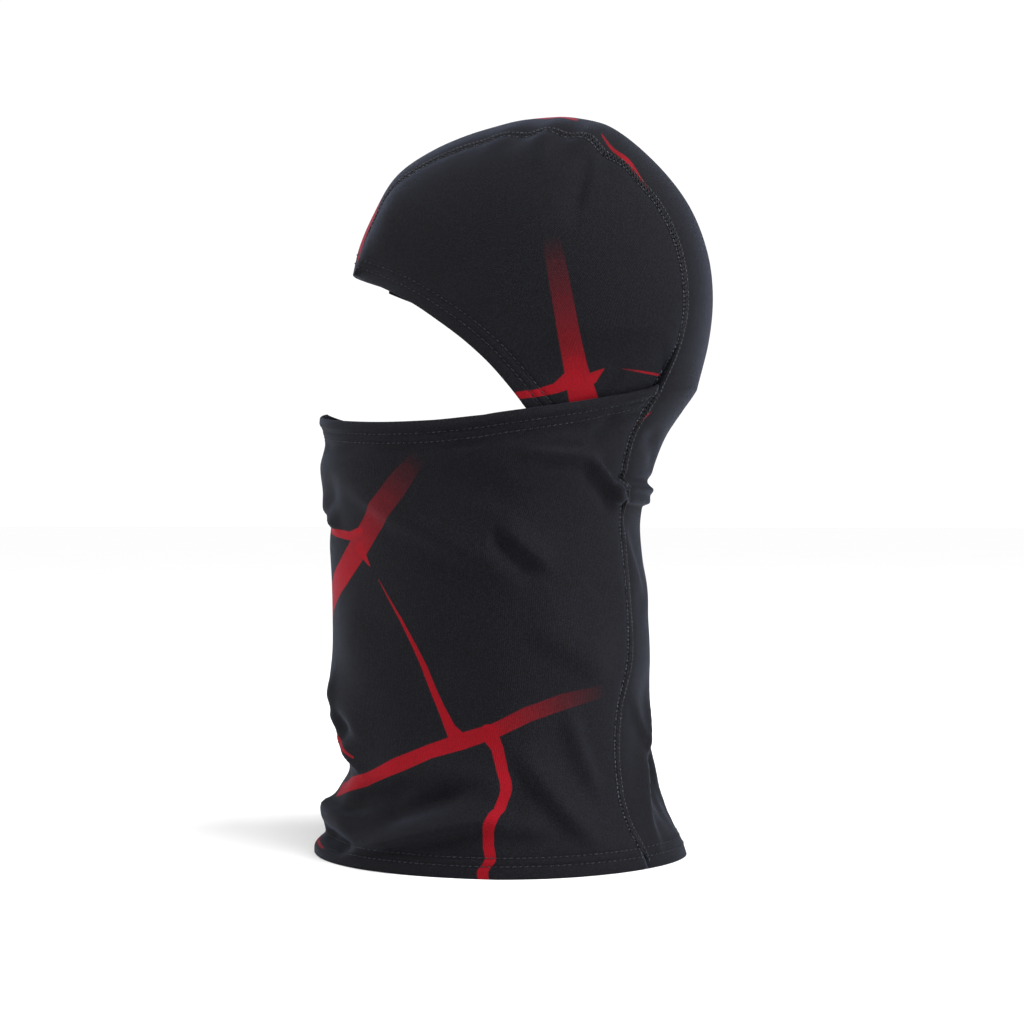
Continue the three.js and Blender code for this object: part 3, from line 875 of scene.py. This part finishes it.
def streak_mask(tree, streaks, mirrored_sides):
    """The ink of all the streaks of a panel. A streak is a list of points (across, up, half-width, ink)."""
    chart = tree.nodes.new("ShaderNodeUVMap")
    chart.uv_map = "print"
    place = vectors(tree, "MULTIPLY", chart.outputs["UV"], (1000.0, 1000.0, 0.0))
    if mirrored_sides:
        place = vectors(tree, "ABSOLUTE", place)
    wobble = noise(tree, place, 0.16, 2.0).node.outputs["Color"]
    shift = vectors(tree, "SUBTRACT", wobble, (0.5, 0.5, 0.5))
    shift = vectors(tree, "MULTIPLY", shift, (0.3, 0.3, 0.0))
    place = vectors(tree, "ADD", place, shift)
    ink = None
    for streak in streaks:
        for (x0, y0, w0, i0), (x1, y1, w1, i1) in zip(streak, streak[1:]):
            node = tree.nodes.new("ShaderNodeGroup")
            node.node_tree = STREAK
            tree.links.new(place, node.inputs["Place"])
            node.inputs["Start"].default_value = (x0, y0, 0.0)
            node.inputs["End"].default_value = (x1, y1, 0.0)
            for label, value in (("Start half", w0), ("End half", w1), ("Start ink", i0), ("End ink", i1)):
                node.inputs[label].default_value = value
            ink = node.outputs["Ink"] if ink is None else maths(tree, "MAXIMUM", ink, node.outputs["Ink"])
    return ink


DEEP_BLACK = (0.0036, 0.0034, 0.0044)
BLUE_BLACK = (0.0078, 0.0084, 0.0124)
STREAK_RED = (0.205, 0.002, 0.007, 1)


def shader(name, roughness, sheen, sheen_roughness, sheen_tint):
    material = bpy.data.materials.new(name)
    material.use_nodes = True
    tree = material.node_tree
    surface = tree.nodes["Principled BSDF"]
    surface.inputs["Roughness"].default_value = roughness
    surface.inputs["Sheen Weight"].default_value = sheen
    surface.inputs["Sheen Roughness"].default_value = sheen_roughness
    surface.inputs["Sheen Tint"].default_value = (*sheen_tint, 1)
    surface.inputs["Specular IOR Level"].default_value = 0.08
    return material, tree, surface


def jersey(name, streaks, mirrored_sides):
    """Near-black stretch jersey with this panel's red streaks printed into it."""
    material, tree, surface = shader(name, 0.6, 0.16, 0.26, (0.58, 0.68, 1.0))
    cloth = tree.nodes.new("ShaderNodeUVMap")
    cloth.uv_map = "cloth"
    loops = tree.nodes.new("ShaderNodeGroup")
    loops.node_tree = JERSEY
    tree.links.new(cloth.outputs["UV"], loops.inputs["Place"])
    loops.inputs["Wale"].default_value = 0.0009
    loops.inputs["Course"].default_value = 0.0008
    body = tree.nodes.new("ShaderNodeTexCoord").outputs["Object"]
    mottle = noise(tree, body, 46.0, 5.0)
    fuzz = noise(tree, body, 1500.0, 2.0)
    mixer = wire(tree, "ShaderNodeMix", None, data_type="RGBA").node
    tree.links.new(streak_mask(tree, streaks, mirrored_sides), mixer.inputs["Factor"])
    tree.links.new(two_tones(tree, fuzz, 0.36, DEEP_BLACK, 0.7, BLUE_BLACK), mixer.inputs["A"])
    mixer.inputs["B"].default_value = STREAK_RED
    # painted shade: the knit's grooves darken the base colour, and mottle and fuzz vary it at random
    tone = maths(tree, "MULTIPLY_ADD", loops.outputs["Painted_groove_shade"], 0.34, 0.72)
    tone = maths(tree, "MULTIPLY", tone, maths(tree, "MULTIPLY_ADD", mottle, 0.36, 0.82))
    tone = maths(tree, "MULTIPLY", tone, maths(tree, "MULTIPLY_ADD", fuzz, 0.5, 0.75))
    tree.links.new(vectors(tree, "MULTIPLY", mixer.outputs["Result"], tone), surface.inputs["Base Color"])
    tree.links.new(maths(tree, "MULTIPLY_ADD", mottle, 0.16, 0.68), surface.inputs["Roughness"])
    height = maths(tree, "MULTIPLY_ADD", fuzz, 0.35, loops.outputs["Height"])
    raise_surface(tree, surface, height, 0.45, 0.0003)
    return material


def thread(name, dark, light, roughness):
    """Textured polyester thread: filaments that twist round it in the bump, and a base colour that rises from
    dark to light in specks, a painted glint where a few filaments would catch the light.
    """
    material, tree, surface = shader(name, roughness, 0.1, 0.3, (0.8, 0.85, 1.0))
    body = tree.nodes.new("ShaderNodeTexCoord").outputs["Object"]
    twist_and_painted_glint = noise(tree, body, 1300.0, 3.0)
    # painted glint: specks of the noise lift the base colour from the dark tone to the light one
    tree.links.new(two_tones(tree, twist_and_painted_glint, 0.38, dark, 0.72, light), surface.inputs["Base Color"])
    raise_surface(tree, surface, twist_and_painted_glint, 0.5, 0.0002)
    return material


def satin_ribbon():
    """Blank grey-white label ribbon with a fine cross weave."""
    material, tree, surface = shader("satin_ribbon", 0.45, 0.1, 0.3, (1.0, 1.0, 1.0))
    body = tree.nodes.new("ShaderNodeTexCoord").outputs["Object"]
    weave = tree.nodes.new("ShaderNodeTexWave")
    weave.bands_direction = "Z"
    weave.inputs["Scale"].default_value = 900.0
    weave.inputs["Distortion"].default_value = 0.6
    tree.links.new(body, weave.inputs["Vector"])
    tint = wire(tree, "ShaderNodeMix", None, data_type="RGBA")
    tree.links.new(weave.outputs["Fac"], tint.node.inputs["Factor"])
    tint.node.inputs["A"].default_value = (0.34, 0.34, 0.35, 1)
    tint.node.inputs["B"].default_value = (0.52, 0.52, 0.52, 1)
    tree.links.new(tint.node.outputs["Result"], surface.inputs["Base Color"])
    return material


# Streaks, as points (across, up, half-width, ink) in millimetres of each panel's own chart
FRONT_STREAKS = [
    [(107, 201, 4.4, 0.0), (99, 192, 5.2, 0.1), (86, 179, 5.6, 0.3), (74, 169, 5.6, 0.5), (62, 158, 6.2, 0.8),
     (44, 143, 6.6, 1), (28, 132, 7.0, 1), (8, 121, 7.5, 1), (0, 118, 8.0, 1)],
    [(64, 165, 1.6, 1), (54, 162, 2.2, 1), (36, 164, 2.0, 1), (20, 170, 3.2, 1), (0, 174, 4.5, 1)],
    [(61, 156, 3.2, 1), (67.5, 147.5, 0.3, 1)],
    [(73, 141, 0.15, 0.7), (85, 122, 0.8, 1), (97, 98, 1.5, 1), (104, 80, 1.9, 1), (108, 70, 2.8, 1),
     (111, 65, 4.6, 1)],
    [(28, 33, 3.6, 1), (58, 42, 3.2, 1), (78, 51, 3.6, 1), (96, 58.5, 3.2, 1), (113, 64, 3.8, 1),
     (130, 69.5, 3.4, 0.85), (146, 77, 3.6, 0.45), (166, 83, 3.8, 0.17), (190, 87, 3.0, 0.0)],
    [(127, 68, 4.4, 1), (130, 61, 3.0, 1), (131, 50, 2.7, 1), (136.5, 32, 2.6, 1)],
    [(135.5, 30.5, 2.8, 1), (138.5, 15.5, 2.5, 1), (144.5, 0, 2.5, 1)],
    [(22, 68, 0.3, 1), (34, 60, 0.9, 1), (50, 53, 0.5, 0.8)],
    [(12, 6, 0.8, 0.9), (40, 5, 0.3, 0.7)],
]
HOOD_STREAKS = [
    [(30, 306, 4.0, 0.0), (33.5, 290, 4.8, 0.12), (37, 272, 5.0, 0.27), (40, 255, 5.2, 0.5),
     (42, 243, 5.4, 0.85), (45.5, 226, 6.6, 0.95)],
    [(12, 229, 1.8, 0.9), (24, 230.5, 1.8, 0.95), (33, 233, 2.4, 0.95), (41, 238, 4.4, 0.95)],
    [(49, 238, 2.6, 0.95), (54.5, 242.5, 0.3, 0.9)],
    [(63, 243, 0.15, 0.4), (72, 242, 0.5, 0.9), (86, 240, 0.7, 0.95)],
]
STRIP_STREAKS = [
    [(30, 3, 5.0, 0.9), (26, 18, 7.5, 0.95), (20, 33, 7.0, 0.9), (16, 46, 5.5, 0.45), (13, 58, 4.0, 0.0)],
    [(8, 131, 3.0, 0.8), (13, 142, 7.0, 1), (18, 152, 3.0, 0.9)],
    [(30, 165, 0.8, 0.5), (34, 180, 1.8, 0.9), (37, 195, 0.9, 0.5)],
    [(30, 318, 0.9, 0.7), (34, 317, 0.9, 0.9)],
]

jersey_front = jersey("jersey_front", FRONT_STREAKS, True)
jersey_hood = jersey("jersey_hood", HOOD_STREAKS, False)
jersey_strip = jersey("jersey_strip", STRIP_STREAKS, True)
# the light tones of the three black threads are painted glints
needle_black = thread("needle_black", (0.003, 0.003, 0.004), (0.12, 0.125, 0.15), 0.4)
looper_black = thread("looper_black", (0.002, 0.002, 0.003), (0.016, 0.0165, 0.02), 0.55)
hem_black = thread("hem_black", (0.002, 0.002, 0.003), (0.04, 0.042, 0.052), 0.5)
label_stitch_grey = thread("label_stitch_grey", (0.2, 0.2, 0.2), (0.4, 0.4, 0.4), 0.6)
ribbon = satin_ribbon()


def bends_with_hood(piece):
    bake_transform(piece)


def bends_with_mask(piece):
    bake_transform(piece)


centre_strip = make_centre_strip()
centre_strip.data.materials.append(jersey_strip)
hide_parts("crown_panel", "back_neck_panel")

front_panel = make_front_panel()
front_panel.data.materials.append(jersey_front)
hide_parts("front_neck_panel", "front_fold_panel", "mask_panel")

hood_sides = []
for word, side in (("left", 1), ("right", -1)):
    knit = make_hood_panel(f"{word}_hood_knit", side)
    knit.data.materials.append(jersey_hood)
    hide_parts(f"hood_panel_{word}")
    hood_sides.append(knit)

# ---------------------------------------------------------------- the flatlock seams
on_hood, on_neck, on_mask = [], [], []
seam_rows = np.linspace(0.012, 1.985, 900)
for word, side in (("left", 1), ("right", -1)):
    inner = sided(beside_seam(seam_rows, SEAM_ROW_ON_STRIP), side)
    outer = sided(beside_seam(seam_rows, SEAM_ROW_ON_PANEL), side)
    cover = stitched(
        f"{word}_seam_cover_thread",
        zigzag(inner, outer, FLATLOCK_STITCH, 0.75, 0.6, 0.45),
        looper_black,
    )
    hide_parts(f"hood_flatlock_{word}", f"neck_flatlock_{word}")
    needles = stitched(
        f"{word}_seam_needle_thread",
        [dashes(*inner, FLATLOCK_STITCH, 0.8, 0.5, 0.8), dashes(*outer, FLATLOCK_STITCH, 0.8, 0.5, 0.8)],
        needle_black,
    )
    rows = [f"{part}_needle_{row}_{word}" for part in ("hood", "neck") for row in ("inner", "outer")]
    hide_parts(*rows)
    on_hood += [cover, needles]

# ---------------------------------------------------------------- the hems
def clear_of_brow(stitches):
    """The stitches of a run that lie clear of the two brow corners."""
    middle = stitches[0]
    corner = FACE[0][0]
    away = np.linalg.norm(np.abs(middle) * [1, 0, 0] + middle * [0, 1, 1] - corner, axis=1)
    kept = away > BROW_CLEAR
    return tuple(part[kept] if np.ndim(part) == 2 else part for part in stitches)


HEMS = (("face", face_line, on_hood), ("mask", mask_line, on_mask), ("bottom", bottom_line, on_neck))
for word, line, group in HEMS:
    first, second = (line(depth) for depth in HEM_ROWS[word])
    for row, path in enumerate((first, second), 1):
        needle = stitched(
            f"{word}_hem_row_{row}",
            [dashes(*path, STITCH, 0.8, 0.5, 0.6, 0.1)],
            hem_black,
        )
        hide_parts(f"{word}_hem_needle_{row}")
        group.append(needle)
    inside = [(p - n * (CLOTH + 2 * HEM_ROLL - 0.3), -n) for p, n in (first, second)]
    crossings = zigzag(*inside, STITCH, 0.6, 0.5, 0.0)
    if word == "face":
        crossings = [clear_of_brow(run) for run in crossings]
    looper = stitched(f"{word}_hem_looper_thread", crossings, looper_black)
    group.append(looper)


# ---------------------------------------------------------------- the care label, inside the back of the neck
def make_label():
    low, high, half = LABEL
    share = np.linspace(-1, 1, 25)
    heights = np.linspace(high, low, 33)
    z = heights[:, None] * np.ones_like(share)
    v = neck_row(z)
    hang = 0.4 + 2.2 * smooth(z, high - 4, low) + 0.5 * np.sin(share * 2.2) * smooth(z, high - 6, low)
    points = strip_surface(v, share * half * np.ones_like(z), lift=-(CLOTH + hang))
    flat = np.stack([share * half * np.ones_like(z), z], -1)
    label = cloth_panel("woven_label", points, flat, flat)
    label.data.materials.append(ribbon)
    return label


label = make_label()
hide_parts("care_label")
stitch_row = np.full(30, neck_row(LABEL[1] - 2))
stitch_share = np.linspace(-1, 1, 30)
ends = strip_surface(stitch_row, stitch_share * (LABEL[2] - 1), lift=-(CLOTH + 1.1))
inward = -facing(strip_base, stitch_row, stitch_share * LABEL[2])
label_stitch = stitched("label_stitch", [dashes(ends, inward, 2.0, 0.7, 0.5, 0.5)], label_stitch_grey)
on_neck.append(label_stitch)

# ---------------------------------------------------------------- bodies: the neck's pieces hang from the neck's body, the others keep their places baked into their meshes
for piece in (centre_strip, *hood_sides, *on_hood):
    bends_with_hood(piece)
for piece in (front_panel, *on_mask):
    bends_with_mask(piece)
for piece in (*on_neck, label):
    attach(piece, "neck")

# ---------------------------------------------------------------- floor, light and camera
deselect()
bpy.ops.mesh.primitive_plane_add(size=40)
floor = bpy.context.object
floor.name = "floor"
pale, pale_tree, pale_surface = shader("pale_floor", 0.9, 0.0, 0.5, (1.0, 1.0, 1.0))
cloudy = noise(pale_tree, pale_tree.nodes.new("ShaderNodeTexCoord").outputs["Object"], 3.0, 2.0)
pale_colour = two_tones(pale_tree, cloudy, 0.0, (0.84, 0.84, 0.84), 1.0, (0.86, 0.86, 0.86))
pale_tree.links.new(pale_colour, pale_surface.inputs["Base Color"])
pale_surface.inputs["Specular IOR Level"].default_value = 0.0
floor.data.materials.append(pale)

world = bpy.data.worlds.new("studio")
bpy.context.scene.world = world
world.use_nodes = True
studio = world.node_tree
backdrop_light = studio.nodes["Background"]
backdrop_light.inputs["Color"].default_value = (1.0, 1.0, 1.0, 1)
# the backdrop looks white, and lights the cloth less than it looks
seen = studio.nodes.new("ShaderNodeLightPath").outputs["Is Camera Ray"]
studio.links.new(maths(studio, "MULTIPLY_ADD", seen, 0.65, 0.4), backdrop_light.inputs["Strength"])


def softbox(name, place, target, size, watts):
    light = bpy.data.lights.new(name, "AREA")
    light.shape = "RECTANGLE"
    light.size, light.size_y = size
    light.energy = watts
    lamp = bpy.data.objects.new(name, light)
    lamp.location = place
    lamp.rotation_euler = (Vector(target) - Vector(place)).to_track_quat("-Z", "Y").to_euler()
    bpy.context.scene.collection.objects.link(lamp)


key = bpy.data.objects.new("key_light", bpy.data.lights.new("key_light", "SUN"))
key.data.energy = 2.9
key.data.angle = math.radians(36)
key.rotation_euler = Vector((0.3, 0.94, 1.4)).to_track_quat("Z", "Y").to_euler()
bpy.context.scene.collection.objects.link(key)
softbox("front_softbox", (0.3, -1.6, 0.9), (0, 0, 0.22), (0.35, 1.2), 27)
softbox("back_softbox", (0.35, 1.6, 0.9), (0, 0, 0.22), (0.35, 1.2), 29)
softbox("top_softbox", (0.5, 0.1, 1.7), (0, 0, 0.3), (0.4, 0.4), 8)

AROUND = math.radians(100)  # the camera's direction, a little behind the left side
DISTANCE = 0.95
camera = bpy.data.objects.new("camera", bpy.data.cameras.new("camera"))
bpy.context.scene.collection.objects.link(camera)
camera.location = (DISTANCE * math.sin(AROUND), -DISTANCE * math.cos(AROUND), 0.174)
camera.rotation_euler = (math.pi / 2, 0, AROUND)
camera.data.lens = 64.9
camera.data.sensor_width = 36
bpy.context.scene.camera = camera
bpy.context.scene.view_settings.view_transform = "Standard"
